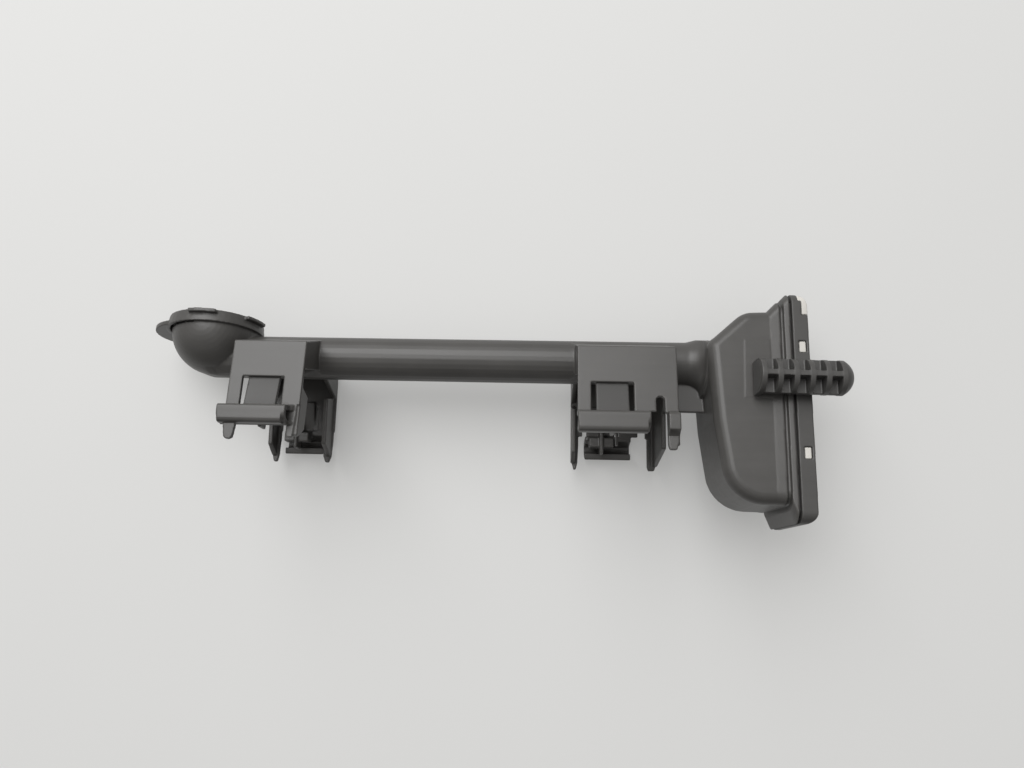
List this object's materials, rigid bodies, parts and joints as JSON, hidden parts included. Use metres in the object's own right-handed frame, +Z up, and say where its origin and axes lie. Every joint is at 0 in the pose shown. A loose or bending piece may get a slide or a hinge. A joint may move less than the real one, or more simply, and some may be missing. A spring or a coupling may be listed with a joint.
{
  "type": "dishwasher water supply tube",
  "caption": "Water supply tube for a dishwasher's upper rack: elbow collar for the spray arm, snap clips for the rack wires, and a flat funnel with a docking port and guide pin.",
  "frame": {"origin": "centre of the part's box, on the surface that the part lies on", "axes": "+X along the tube from the outlet collar to the docking port, +Y across it to the side that the collar opens to, +Z up from the surface"},
  "size_m": [0.306, 0.1042, 0.0731],
  "materials": {
    "tube_plastic": "satin moulded polypropylene, dark warm grey",
    "frame_plastic": "satin moulded polypropylene, a shade darker than the tube",
    "seal": "matte off-white"
  },
  "bodies": {
    "root": {"supply_tube": "tube_plastic", "dock_frame": "frame_plastic", "port_seal": "seal"}
  },
  "joints": []
}
